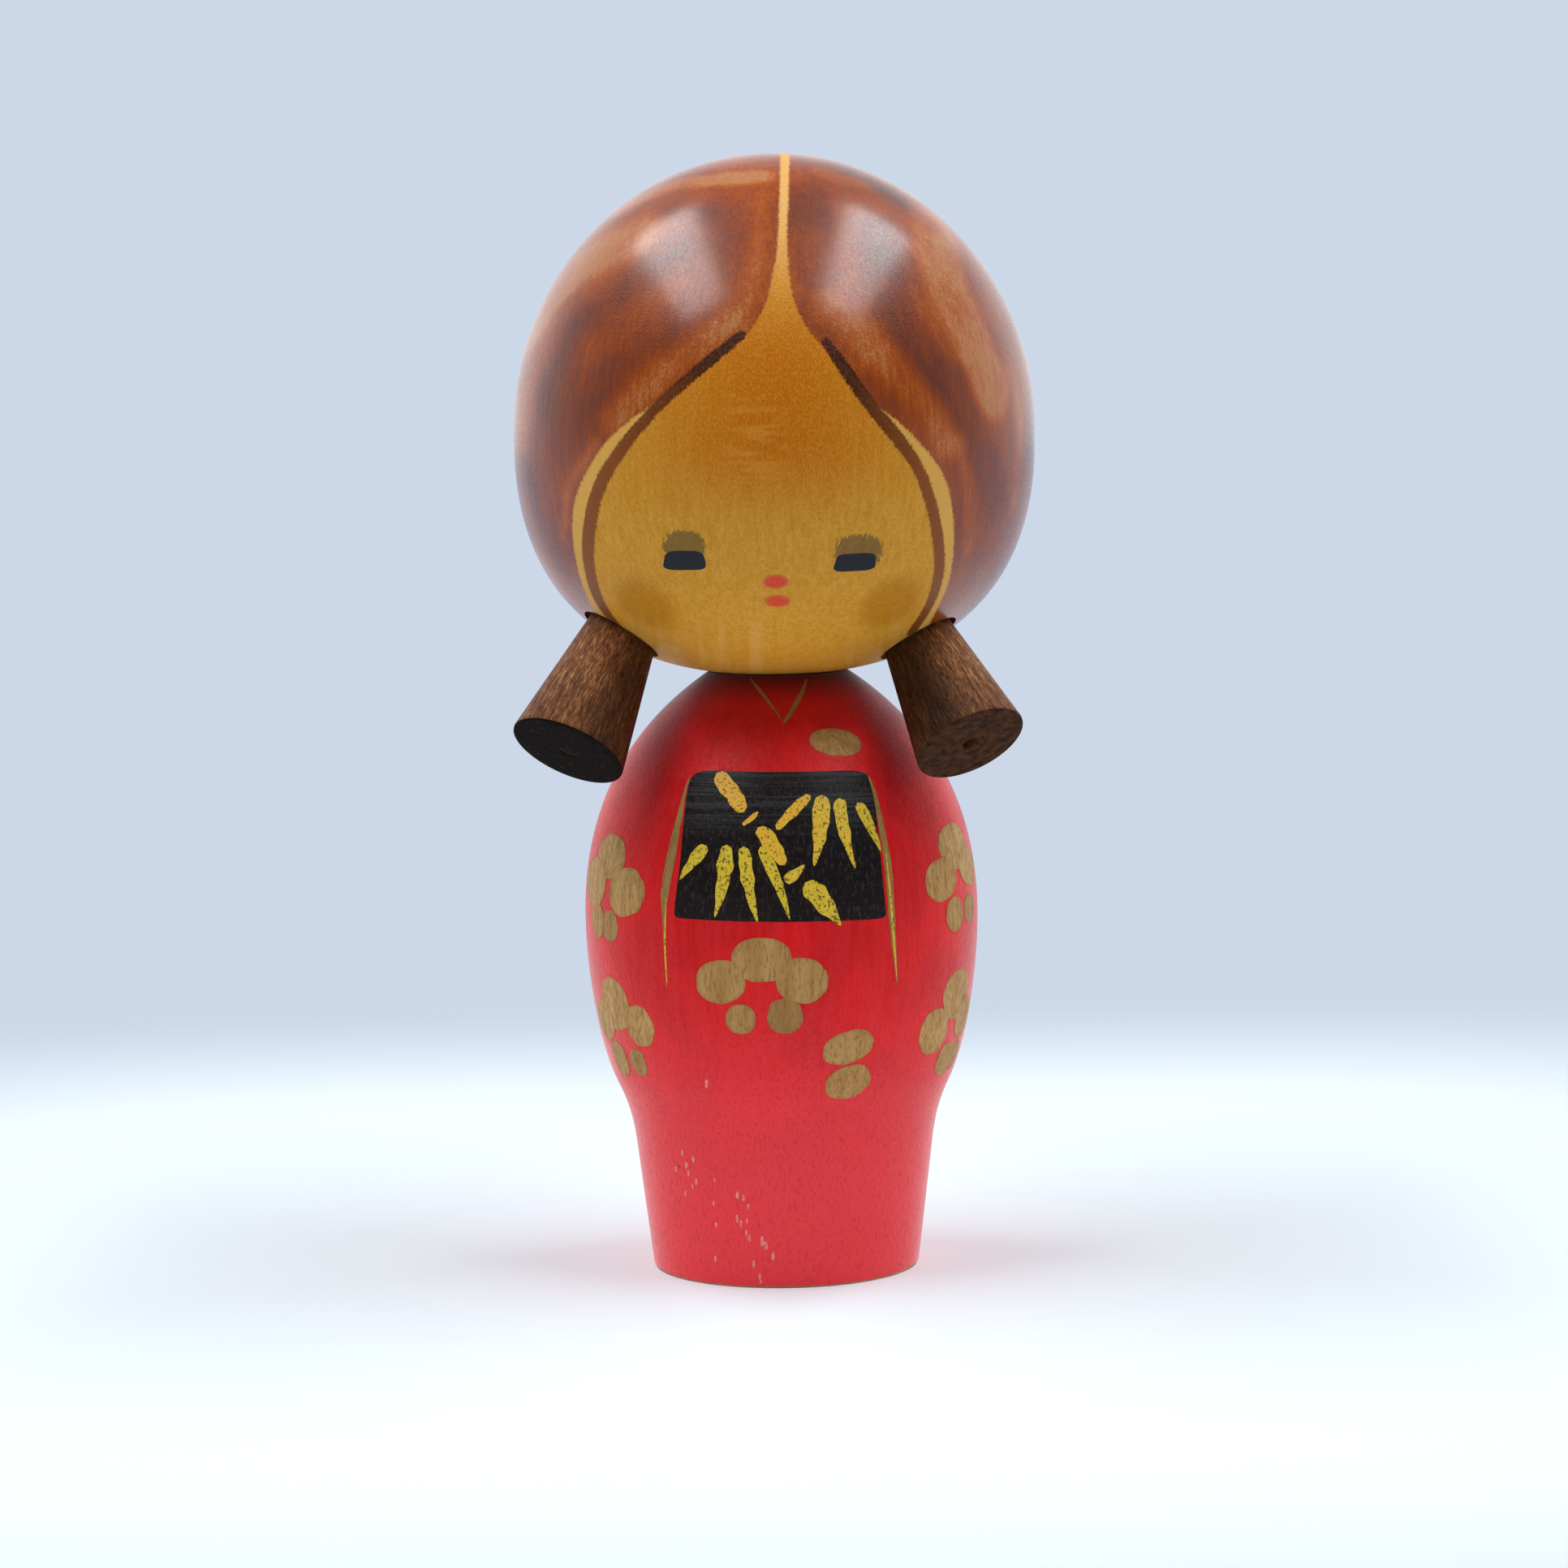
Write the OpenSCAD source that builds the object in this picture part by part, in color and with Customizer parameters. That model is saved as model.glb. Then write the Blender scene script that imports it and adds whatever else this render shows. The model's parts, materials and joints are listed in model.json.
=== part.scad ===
// Kokeshi doll: a turned wooden body, a head that turns on a hidden dowel,
// and two cone pigtails that turn on wooden pegs under the head.
// Origin at the centre of the foot, +Z up, the face looks along -Y. Millimetres.

/* [Body] */
// Height of the body, foot to neck
body_h = 80.9; // [79:0.1:83]
// Diameter of the foot
foot_d = 36; // [32:0.5:40]
// Diameter where the straight foot ends and the waist begins
waist_d = 39.4; // [37:0.1:42]
// Height where the waist begins
waist_z = 13.7; // [12:0.1:16]
// Diameter where the waist ends and the egg begins
bulge_d = 45.2; // [43:0.1:48]
// Height where the waist ends and the egg begins
bulge_z = 25.6; // [23:0.1:28]
// Diameter of the egg at its widest
belly_d = 53.1; // [51:0.1:56]
// Height of the egg's widest place
belly_z = 48; // [45:0.5:50]
// Diameter of the flat top under the head
neck_d = 18.8; // [16:0.1:21]
// Size of the small bevel round the foot
body_bevel = 0.5; // [0.2:0.1:1]

/* [Head] */
// Diameter of the head
head_d = 69.8; // [66:0.1:73]
// Height of the top of the doll
doll_h = 150; // [146:0.5:154]
// Height of the head's widest place
head_z = 113; // [111:0.5:115]
// Diameter of the flat seat under the head
seat_d = 17; // [14:0.5:19]
// Roundness of the lower half, where 2 is an ellipse and more is squarer
chin_power = 2.43; // [2.2:0.01:2.6]
// Gap between the head's seat and the body's top
neck_gap = 0.1; // [0.05:0.05:0.3]

/* [Neck dowel] */
// Diameter of the dowel
dowel_d = 8; // [6:0.5:9]
// Length of the dowel in the head, where it is glued
dowel_in_head = 12; // [8:1:16]
// Length of the dowel in the body, where it turns
dowel_in_body = 11; // [8:1:16]
// Space left under the dowel
dowel_end_gap = 1; // [0.5:0.5:2]
// Radial clearance of the dowel in the body
dowel_play = 0.05; // [0.03:0.01:0.1]

/* [Pigtails] */
// Diameter of a pigtail at its hidden end
tail_top_d = 9.2; // [8:0.1:9.6]
// Depth of the drilled socket in the head, on its axis
socket_depth = 2.4; // [2.2:0.1:3]
// Diameter of the socket
socket_d = 11.2; // [11:0.1:12]
// Gap between a pigtail and the socket's floor
tail_gap = 0.1; // [0.05:0.05:0.3]
// Size of the small bevels at a pigtail's ends
tail_bevel = 0.35; // [0.2:0.05:0.6]

/* [Left pigtail] */
// Length that shows
left_tail_l = 18; // [16:0.5:20]
// Diameter at the free end
left_end_d = 15.6; // [14:0.1:16]
// Sideways distance of the socket from the middle
left_tail_x = 20.9; // [20:0.1:21.5]
// Height of the socket
left_tail_z = 86.3; // [86:0.1:87]
// Outward turn from straight ahead
left_tail_turn = 38; // [35:0.5:40]
// Dip below level
left_tail_dip = 52; // [50:0.5:55]

/* [Right pigtail] */
// Length that shows
right_tail_l = 17; // [15:0.5:20]
// Diameter at the free end
right_end_d = 15.1; // [14:0.1:16]
// Sideways distance of the socket from the middle
right_tail_x = 18.9; // [18:0.1:21]
// Height of the socket
right_tail_z = 85.2; // [85:0.1:87]
// Outward turn from straight ahead
right_tail_turn = 34; // [32:0.5:40]
// Dip below level
right_tail_dip = 49; // [48:0.5:55]

/* [Pegs] */
// Diameter of a peg
peg_d = 2.2; // [1.8:0.1:3]
// Length of a peg in the head, where it is glued
peg_in_head = 7; // [5:0.5:8]
// How far the left peg stops short of the pigtail's end
left_peg_short = 0.1; // [0:0.1:3]
// How far the right peg, which is broken off, stops short
right_peg_short = 1.5; // [0:0.1:3]
// Radial clearance of a peg in its pigtail
peg_play = 0.05; // [0.03:0.01:0.1]

/* [Hidden] */
$fn = 96;
LEFT = -1;
RIGHT = 1;
eps = 0.01;
waist_steps = 14;      // bands along the waist
egg_steps = 18;        // bands from the waist up to the widest place
shoulder_steps = 28;   // bands from there up to the neck
head_steps = 40;       // bands along each half of the head
head_r = head_d / 2;
seat_z = body_h + neck_gap;
// half height of the lower half, so that it is seat_d wide at the seat
chin_h = (head_z - seat_z) / pow(1 - pow(seat_d / head_d, chin_power), 1 / chin_power);
left_total_l = left_tail_l + socket_depth - tail_gap;
right_total_l = right_tail_l + socket_depth - tail_gap;

// Points of a cubic curve from a, which is left out, to d, with handles b and c
function curve(a, b, c, d, steps) =
    [for (i = [1:steps]) let (t = i / steps, u = 1 - t)
        u * u * u * a + 3 * u * u * t * b + 3 * u * t * t * c + t * t * t * d];

// The head's radius at height z, below its widest place
function chin_r(z) =
    head_r * pow(1 - pow((head_z - z) / chin_h, chin_power), 1 / chin_power);

// How far forward the head's surface lies at sideways distance x and height z
function head_front(x, z) = sqrt(pow(chin_r(z), 2) - x * x);

// Puts children on a pigtail's axis, with z = 0 at the head's surface, +Z outwards
module on_tail(side) {
    x = side == LEFT ? left_tail_x : right_tail_x;
    z = side == LEFT ? left_tail_z : right_tail_z;
    turn = side == LEFT ? left_tail_turn : right_tail_turn;
    dip = side == LEFT ? left_tail_dip : right_tail_dip;
    translate([side * x, -head_front(x, z), z])
        rotate([0, 90 + dip, 270 + side * turn])
            children();
}

// Straight flared foot, soft waist, egg-shaped torso, flat top
module body_blank() {
    foot = [foot_d / 2, 0];
    waist = [waist_d / 2, waist_z];
    bulge = [bulge_d / 2, bulge_z];
    belly = [belly_d / 2, belly_z];
    neck = [neck_d / 2, body_h];
    flare = (waist - foot) / norm(waist - foot);
    lean = [0.43, 0.9];                     // direction of the outline at the bulge
    fall = [0.83, -0.56];                   // direction of the shoulder at the neck
    outline = concat(
        [[0, 0], foot - [body_bevel, 0], foot + flare * body_bevel, waist],
        curve(waist, waist + 5.2 * flare, bulge - 5 * lean, bulge, waist_steps),
        curve(bulge, bulge + 6.3 * lean, belly - [0, 6.2], belly, egg_steps),
        curve(belly, belly + [0, 16], neck + 12 * fall, neck, shoulder_steps),
        [[0, body_h]]);
    rotate_extrude() polygon(outline);
}

// Flattened ball: an ellipse above, a squarer curve below, a flat seat
module head_blank() {
    crown = [for (i = [0:head_steps]) let (a = 90 * i / head_steps)
        [head_r * cos(a), head_z + (doll_h - head_z) * sin(a)]];
    chin = [for (i = [0:head_steps - 1])
        let (a = 90 * i / head_steps, s = pow(sin(a), 2 / chin_power),
             r = head_r * pow(cos(a), 2 / chin_power))
        if (r > seat_d / 2 + 0.2) [r, head_z - chin_h * s]];
    reverse_chin = [for (i = [len(chin) - 1:-1:1]) chin[i]];
    rotate_extrude()
        polygon(concat([[0, seat_z], [seat_d / 2, seat_z]], reverse_chin, crown));
}

module body() {
    bore_r = dowel_d / 2 + dowel_play;
    bore_h = dowel_in_body + dowel_end_gap;
    color("firebrick") difference() {
        body_blank();
        translate([0, 0, body_h - bore_h]) cylinder(r = bore_r, h = bore_h + eps);
    }
}

module head() {
    color("peru") difference() {
        head_blank();
        translate([0, 0, seat_z - eps]) cylinder(d = dowel_d, h = dowel_in_head + eps);
        for (side = [LEFT, RIGHT]) on_tail(side) {
            translate([0, 0, -socket_depth]) cylinder(d = socket_d, h = 3 * socket_depth);
            translate([0, 0, -socket_depth - peg_in_head])
                cylinder(d = peg_d, h = peg_in_head + eps);
        }
    }
}

module neck_dowel() {
    color("burlywood") translate([0, 0, body_h - dowel_in_body])
        cylinder(d = dowel_d, h = dowel_in_body + neck_gap + dowel_in_head);
}

// A stained cone with a peg hole right through, hidden end down at z = 0
module pigtail(l, end_d) {
    top_r = tail_top_d / 2;
    end_r = end_d / 2;
    slope = (end_r - top_r) / l;
    color("saddlebrown") difference() {
        rotate_extrude() polygon([
            [0, 0], [top_r - tail_bevel, 0], [top_r + slope * tail_bevel, tail_bevel],
            [end_r - slope * tail_bevel, l - tail_bevel], [end_r - tail_bevel, l], [0, l]]);
        translate([0, 0, -eps]) cylinder(r = peg_d / 2 + peg_play, h = l + 2 * eps);
    }
}

// A peg from the bottom of its hole in the head, stopping short of the pigtail's end
module peg(tail_l, short) {
    color("wheat") translate([0, 0, -socket_depth - peg_in_head])
        cylinder(d = peg_d, h = peg_in_head + socket_depth + tail_l - short);
}

module left_pigtail() {
    on_tail(LEFT) translate([0, 0, tail_gap - socket_depth])
        pigtail(left_total_l, left_end_d);
}

module right_pigtail() {
    on_tail(RIGHT) translate([0, 0, tail_gap - socket_depth])
        pigtail(right_total_l, right_end_d);
}

module left_pigtail_peg() {
    on_tail(LEFT) peg(left_tail_l, left_peg_short);
}

module right_pigtail_peg() {
    on_tail(RIGHT) peg(right_tail_l, right_peg_short);
}

body();
head();
neck_dowel();
left_pigtail();
right_pigtail();
left_pigtail_peg();
right_pigtail_peg();
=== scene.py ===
# Kokeshi doll, looks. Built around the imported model, in metres, face towards -Y.
import json
import math

import bpy
import numpy as np
from mathutils import Matrix, Vector, noise

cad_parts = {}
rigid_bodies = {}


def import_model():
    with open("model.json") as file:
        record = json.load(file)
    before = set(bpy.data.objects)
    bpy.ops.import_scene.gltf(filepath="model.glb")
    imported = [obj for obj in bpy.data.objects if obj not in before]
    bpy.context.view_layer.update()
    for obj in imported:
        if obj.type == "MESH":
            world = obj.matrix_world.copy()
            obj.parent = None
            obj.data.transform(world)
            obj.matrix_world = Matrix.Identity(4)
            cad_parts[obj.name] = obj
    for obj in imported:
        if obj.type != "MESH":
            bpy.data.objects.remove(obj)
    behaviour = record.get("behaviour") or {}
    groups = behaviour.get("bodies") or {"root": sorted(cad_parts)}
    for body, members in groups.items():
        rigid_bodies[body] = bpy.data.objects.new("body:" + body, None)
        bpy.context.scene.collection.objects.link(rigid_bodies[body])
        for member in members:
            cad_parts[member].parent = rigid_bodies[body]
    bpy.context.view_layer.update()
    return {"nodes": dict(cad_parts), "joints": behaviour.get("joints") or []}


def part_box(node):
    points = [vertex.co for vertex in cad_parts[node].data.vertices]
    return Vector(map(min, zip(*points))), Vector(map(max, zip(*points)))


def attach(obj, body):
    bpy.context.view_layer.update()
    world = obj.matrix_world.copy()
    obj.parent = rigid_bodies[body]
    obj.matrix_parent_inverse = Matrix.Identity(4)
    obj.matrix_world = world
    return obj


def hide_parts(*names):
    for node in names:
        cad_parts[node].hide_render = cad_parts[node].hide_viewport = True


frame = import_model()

mm = 0.001
fullTurn = 2 * math.pi
jointRows = {row["name"]: row for row in frame["joints"]}
bodyLow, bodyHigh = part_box("body")
headLow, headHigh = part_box("head")
bodyTop = bodyHigh.z / mm
bellyRadius = bodyHigh.x / mm
headRadius = headHigh.x / mm
headTop = headHigh.z / mm
seatHeight = headLow.z / mm
print("frame loaded:", len(frame["nodes"]), "solids")

cameraValues = {
    "distance": 0.637,      # in front of the doll's axis
    "height": 0.1313,
    "aim": (0.0006, 0, 0.06545),
    "lens": 108.8,
    "roll": 0.859,          # degrees, the doll leans a little to the left
}


def makeCamera():
    data = bpy.data.cameras.new("camera")
    data.lens = cameraValues["lens"]
    data.sensor_width = 36
    camera = bpy.data.objects.new("camera", data)
    bpy.context.scene.collection.objects.link(camera)
    camera.location = (0, -cameraValues["distance"], cameraValues["height"])
    aim = Vector(cameraValues["aim"]) - camera.location
    look = aim.to_track_quat("-Z", "Y").to_matrix().to_4x4()
    look = look @ Matrix.Rotation(math.radians(-cameraValues["roll"]), 4, "Z")
    camera.rotation_euler = look.to_euler()
    bpy.context.scene.camera = camera


# A colour given as red, green and blue from 0 to 255, as a paint chart has them.
def tint(red, green, blue):
    shares = [value / 255 for value in (red, green, blue)]
    linear = [s / 12.92 if s <= 0.04045 else ((s + 0.055) / 1.055) ** 2.4 for s in shares]
    return (*linear, 1.0)


def addNode(tree, kind, inputs=None, **settings):
    made = tree.nodes.new(kind if kind.startswith("NodeGroup") else "ShaderNode" + kind)
    for name, value in settings.items():
        setattr(made, name, value)
    for key, value in (inputs or {}).items():
        if isinstance(value, bpy.types.NodeSocket):
            tree.links.new(value, made.inputs[key])
        else:
            made.inputs[key].default_value = value
    return made


def calc(tree, operation, first, second=0.0):
    return addNode(tree, "Math", {0: first, 1: second}, operation=operation).outputs[0]


def plus(tree, first, second):
    return calc(tree, "ADD", first, second)


def times(tree, first, second):
    return calc(tree, "MULTIPLY", first, second)


# One part, X, Y or Z, of a vector.
def partOf(tree, vector, letter):
    return addNode(tree, "SeparateXYZ", {0: vector}).outputs[letter]


def fade(tree, value, start, end, low=0.0, high=1.0):
    made = addNode(tree, "MapRange", {0: value, 1: start, 2: end, 3: low, 4: high},
                   interpolation_type="SMOOTHSTEP")
    return made.outputs[0]


def mixColour(tree, factor, first, second):
    return addNode(tree, "Mix", {0: factor, 6: first, 7: second}, data_type="RGBA").outputs[2]


# The colour moved towards another one by a mask times a share.
def mixMasked(tree, mask, share, colour, other):
    return mixColour(tree, times(tree, mask, share), colour, other)


# The colour under further ones, each with the value that leads it, where that starts and
# ends to count, and the most it covers.
def coverColour(tree, colour, rows):
    for value, start, end, most, other in rows:
        colour = mixColour(tree, fade(tree, value, start, end, 0.0, most), colour, other)
    return colour


def readValue(tree, name):
    return addNode(tree, "Attribute", attribute_name=name).outputs["Fac"]


def objectPlace(tree):
    return addNode(tree, "TexCoord").outputs["Object"]


# The colours of a ramp, each with its place from 0 to 1.
def rampColour(tree, factor, stops):
    ramp = addNode(tree, "ValToRGB", {0: factor})
    elements = ramp.color_ramp.elements
    while len(elements) < len(stops):
        elements.new(0.5)
    for element, (place, colour) in zip(elements, stops):
        element.position = place
        element.color = colour
    return ramp.outputs[0]


def noiseValue(tree, vector, stretch, detail=2.0, roughness=0.5):
    scaled = addNode(tree, "VectorMath", {0: vector, 1: stretch}, operation="MULTIPLY").outputs[0]
    made = addNode(tree, "TexNoise", {"Vector": scaled, "Scale": 1.0, "Detail": detail,
                                      "Roughness": roughness})
    return made.outputs["Fac"]


# Wood fibres along Z: fine specks, longer streaks and broad cloudiness, each from 0 to 1,
# and the tool's rings round the axis.
def grainGroup():
    made = bpy.data.node_groups.get("woodGrain")
    if made:
        return made
    group = bpy.data.node_groups.new("woodGrain", "ShaderNodeTree")
    face = group.interface
    face.new_socket("Vector", in_out="INPUT", socket_type="NodeSocketVector")
    for name in ("Across", "Along"):
        face.new_socket(name, in_out="INPUT", socket_type="NodeSocketFloat")
    outputNames = ("Specks", "Streaks", "Clouds", "Rings")
    for name in outputNames:
        face.new_socket(name, in_out="OUTPUT", socket_type="NodeSocketFloat")
    start = addNode(group, "NodeGroupInput")
    end = addNode(group, "NodeGroupOutput")
    across = calc(group, "DIVIDE", 1000.0, start.outputs["Across"])
    along = calc(group, "DIVIDE", 1000.0, start.outputs["Along"])
    stretch = addNode(group, "CombineXYZ", {0: across, 1: across, 2: along}).outputs[0]
    specks = noiseValue(group, start.outputs["Vector"], stretch, 1.5, 0.6)
    broad = addNode(group, "VectorMath", {0: stretch, 1: (0.3, 0.3, 0.05)},
                    operation="MULTIPLY").outputs[0]
    streaks = noiseValue(group, start.outputs["Vector"], broad, 3.0, 0.6)
    clouds = noiseValue(group, start.outputs["Vector"], (110.0, 110.0, 80.0), 2.0)
    rings = noiseValue(group, start.outputs["Vector"], (60.0, 60.0, 2200.0), 2.0, 0.7)
    for name, value in zip(outputNames, (specks, streaks, clouds, rings)):
        group.links.new(fade(group, value, 0.3, 0.7), end.inputs[name])
    return group


def addGrain(tree, vector, across, along):
    made = tree.nodes.new("ShaderNodeGroup")
    made.node_tree = grainGroup()
    tree.links.new(vector, made.inputs["Vector"])
    made.inputs["Across"].default_value = across
    made.inputs["Along"].default_value = along
    return made.outputs


def startMaterial(name, **plain):
    material = bpy.data.materials.new(name)
    material.use_nodes = True
    tree = material.node_tree
    shader = tree.nodes["Principled BSDF"]
    for key, value in plain.items():
        shader.inputs[key.replace("_", " ")].default_value = value
    return material, tree, shader


# Leads the colour, the roughness and a fine relief, depth high, into the shader.
def finishShader(tree, shader, colour, roughness, height, depth):
    tree.links.new(colour, shader.inputs["Base Color"])
    if roughness:
        tree.links.new(roughness, shader.inputs["Roughness"])
    bump = addNode(tree, "Bump", {"Strength": 1.0, "Distance": depth, "Height": height})
    tree.links.new(bump.outputs[0], shader.inputs["Normal"])


studioValues = {
    "panelPower": 2.95,                 # watts of each overhead panel
    "panelSize": (0.19, 0.62),
    "panelPlace": (0.30, -0.05, 0.62),  # the other one is mirrored
    "panelColour": (0.92, 0.965, 1.0),
    "tentTop": 0.2,
    "tentSide": 0.45,
    "tentFront": 0.15,
    "tentBack": 1.15,
    "tentColour": (0.93, 0.96, 1.0, 1),
    "backdrop": (0.604, 0.686, 0.807, 1),
    "floorColour": (0.86, 0.92, 0.955, 1),
    "floorBounce": (0.95, 0.95, 0.97, 1),     # how bright the floor is for the doll above it
    "floorRadius": 3.0,
    "panelAim": 0.1,                    # height the panels look at
    "sweepStart": 0.115,                # where the floor starts to melt into the backdrop
    "sweepEnd": 0.24,
}


def makeStudio():
    values = studioValues
    scene = bpy.context.scene
    scene.view_settings.view_transform = "Standard"
    world = bpy.data.worlds.new("tent")
    scene.world = world
    world.use_nodes = True
    tree = world.node_tree
    tree.nodes.clear()
    direction = addNode(tree, "TexCoord").outputs["Generated"]
    away = partOf(tree, direction, "Y")
    front = fade(tree, away, -0.5, 0.2, values["tentFront"], values["tentSide"])
    back = fade(tree, away, 0.1, 0.8, 0.0, values["tentBack"] - values["tentSide"])
    upward = fade(tree, partOf(tree, direction, "Z"), 0.2, 0.75)
    made = addNode(tree, "Mix", {0: upward, 2: plus(tree, front, back), 3: values["tentTop"]})
    tent = addNode(tree, "Background", {0: values["tentColour"], 1: made.outputs[0]})
    plain = addNode(tree, "Background", {0: values["backdrop"], 1: 1.0})
    seen = addNode(tree, "LightPath").outputs["Is Camera Ray"]
    both = addNode(tree, "MixShader", {0: seen, 1: tent.outputs[0], 2: plain.outputs[0]})
    addNode(tree, "OutputWorld", {0: both.outputs[0]})

    for side in (-1, 1):
        data = bpy.data.lights.new("panel", "AREA")
        data.shape = "RECTANGLE"
        data.size, data.size_y = values["panelSize"]
        data.energy = values["panelPower"]
        data.color = values["panelColour"]
        lamp = bpy.data.objects.new("panel", data)
        scene.collection.objects.link(lamp)
        x, y, z = values["panelPlace"]
        lamp.location = (side * x, y, z)
        lamp.rotation_euler = (0, math.atan2(side * x, z - values["panelAim"]), 0)

    bpy.ops.mesh.primitive_circle_add(vertices=96, radius=values["floorRadius"], fill_type="NGON")
    floor = bpy.context.object
    floor.name = "floor"
    material = bpy.data.materials.new("paleFloor")
    material.use_nodes = True
    tree = material.node_tree
    tree.nodes.clear()
    # distance from the middle of a square with well rounded corners
    across, along = (calc(tree, "POWER", calc(tree, "ABSOLUTE",
                                              partOf(tree, objectPlace(tree), letter)), 4.0)
                     for letter in "XY")
    reach = calc(tree, "POWER", plus(tree, across, along), 0.25)
    melt = fade(tree, reach, values["sweepStart"], values["sweepEnd"])
    shown = addNode(tree, "BsdfDiffuse", {0: values["floorColour"]})
    bounce = addNode(tree, "BsdfDiffuse", {0: values["floorBounce"]})
    seen = addNode(tree, "LightPath").outputs["Is Camera Ray"]
    near = addNode(tree, "MixShader", {0: seen, 1: bounce.outputs[0], 2: shown.outputs[0]})
    far = addNode(tree, "Emission", {0: values["backdrop"], 1: 1.0})
    both = addNode(tree, "MixShader", {0: melt, 1: near.outputs[0], 2: far.outputs[0]})
    addNode(tree, "OutputMaterial", {0: both.outputs[0]})
    floor.data.materials.append(material)


# Points of a cubic curve from a, which is left out, to d, with handles b and c.
def curvePoints(a, b, c, d, steps):
    points = []
    for i in range(1, steps + 1):
        t = i / steps
        u = 1 - t
        points.append(tuple(u ** 3 * p + 3 * u * u * t * q + 3 * u * t * t * r + t ** 3 * s
                            for p, q, r, s in zip(a, b, c, d)))
    return points


# The same outline again with its points evenly spread along it.
def spreadEvenly(points, count):
    points = np.array(points, float)
    run = np.r_[0, np.cumsum(np.hypot(*np.diff(points, axis=0).T))]
    places = np.linspace(0, run[-1], count)
    return [(float(np.interp(s, run, points[:, 0])), float(np.interp(s, run, points[:, 1])))
            for s in places]


# A flowing line through a few points, with a point about every spacing mm.
def smoothPath(points, spacing=0.7):
    points = np.array(points, float)
    ends = np.vstack([2 * points[0] - points[1], points, 2 * points[-1] - points[-2]])
    made = [points[0]]
    for i in range(1, len(ends) - 2):
        a, b, c, d = ends[i - 1:i + 3]
        count = max(2, int(np.linalg.norm(c - b) / spacing))
        for j in range(1, count + 1):
            t = j / count
            made.append(0.5 * (2 * b + (c - a) * t + (2 * a - 5 * b + 4 * c - d) * t ** 2
                               + (3 * b - a - 3 * c + d) * t ** 3))
    return np.array(made)


def only(piece):
    bpy.ops.object.select_all(action="DESELECT")
    piece.select_set(True)
    bpy.context.view_layer.objects.active = piece


# An outline of (radius, height) points in mm, drawn point by point and spun round Z.
def turnOnLathe(name, outline, steps):
    bpy.ops.object.select_all(action="DESELECT")
    bpy.ops.mesh.primitive_plane_add(size=mm)
    piece = bpy.context.object
    piece.name = name
    bpy.ops.object.mode_set(mode="EDIT")
    bpy.ops.mesh.merge(type="CENTER")
    last = (0.0, 0.0)
    for i, point in enumerate(outline):
        move = ((point[0] - last[0]) * mm, 0, (point[1] - last[1]) * mm)
        if i == 0:
            bpy.ops.transform.translate(value=move)
        else:
            bpy.ops.mesh.extrude_region_move(TRANSFORM_OT_translate={"value": move})
        last = point
    bpy.ops.mesh.select_all(action="SELECT")
    bpy.ops.mesh.spin(steps=steps, angle=fullTurn, center=(0, 0, 0), axis=(0, 0, 1))
    bpy.ops.mesh.select_all(action="SELECT")
    bpy.ops.mesh.remove_doubles(threshold=0.002 * mm)
    bpy.ops.mesh.normals_make_consistent(inside=False)
    bpy.ops.object.mode_set(mode="OBJECT")
    return piece


def smoothUp(piece, angle=35):
    only(piece)
    bpy.ops.object.shade_smooth_by_angle(angle=math.radians(angle))


def readPlaces(piece):
    places = np.empty(len(piece.data.vertices) * 3, np.float32)
    piece.data.vertices.foreach_get("co", places)
    return places.reshape(-1, 3).astype(float) / mm


def movePlaces(piece, places):
    piece.data.vertices.foreach_set("co", (np.asarray(places) * mm).astype(np.float32).ravel())
    piece.data.update()


def storeValue(piece, name, values):
    spread = piece.data.attributes.new(name, "FLOAT", "POINT")
    spread.data.foreach_set("value", np.asarray(values, np.float32))


def step(value, start, end):
    t = np.clip((value - start) / (end - start), 0, 1)
    return t * t * (3 - 2 * t)


# How far each place is from a path, and how far along the path its nearest point is.
def pathDistance(places, path):
    best = np.full(len(places), 1e9)
    share = np.zeros(len(places))
    for i in range(len(path) - 1):
        a = path[i]
        way = path[i + 1] - a
        t = np.clip((places - a) @ way / (way @ way), 0, 1)
        gap = np.linalg.norm(places - a - t[:, None] * way, axis=1)
        closer = gap < best
        best[closer] = gap[closer]
        share[closer] = (i + t[closer]) / (len(path) - 1)
    return best, share


def finishPiece(piece, body, replaced=()):
    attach(piece, body)
    if replaced:
        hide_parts(*replaced)


def bareWood():
    made = bpy.data.materials.get("bareWood")
    if made:
        return made
    material, tree, shader = startMaterial("bareWood", Roughness=0.62)
    grain = addGrain(tree, objectPlace(tree), 0.3, 1.4)
    colour = rampColour(tree, grain["Streaks"], [(0.0, tint(196, 158, 108)),
                                                 (1.0, tint(226, 196, 148))])
    colour = mixMasked(tree, grain["Specks"], 0.3, colour, tint(160, 116, 70))
    height = plus(tree, grain["Specks"], grain["Rings"])
    finishShader(tree, shader, colour, None, height, 0.02 * mm)
    return material


bodyValues = {
    "footRadius": 18.0,
    "footRound": 0.5,
    "latheMark": [(0, 0.8), (0.5, 0.5), (1.2, 0)],      # small hollow under the foot
    "waist": (19.7, 13.7),
    "bulge": (22.6, 25.6),
    "bellyHeight": 48.0,
    "neckRadius": 9.4,
    "lean": (0.43, 0.90),       # direction of the outline at the bulge
    "fall": (0.83, -0.56),      # direction of the shoulder at the neck
    "boreRadius": 4.05,
    "boreDepth": 12.0,
    "rows": 150,
    "steps": 224,
    "red": tint(232, 8, 8),
    "deepRed": tint(214, 3, 5),
    "dustyRed": tint(238, 64, 70),
    # painted floor bounce light and sheen with a dustier red, towards the foot
    "bounceLitDustyRed": tint(250, 68, 76),
}


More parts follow.
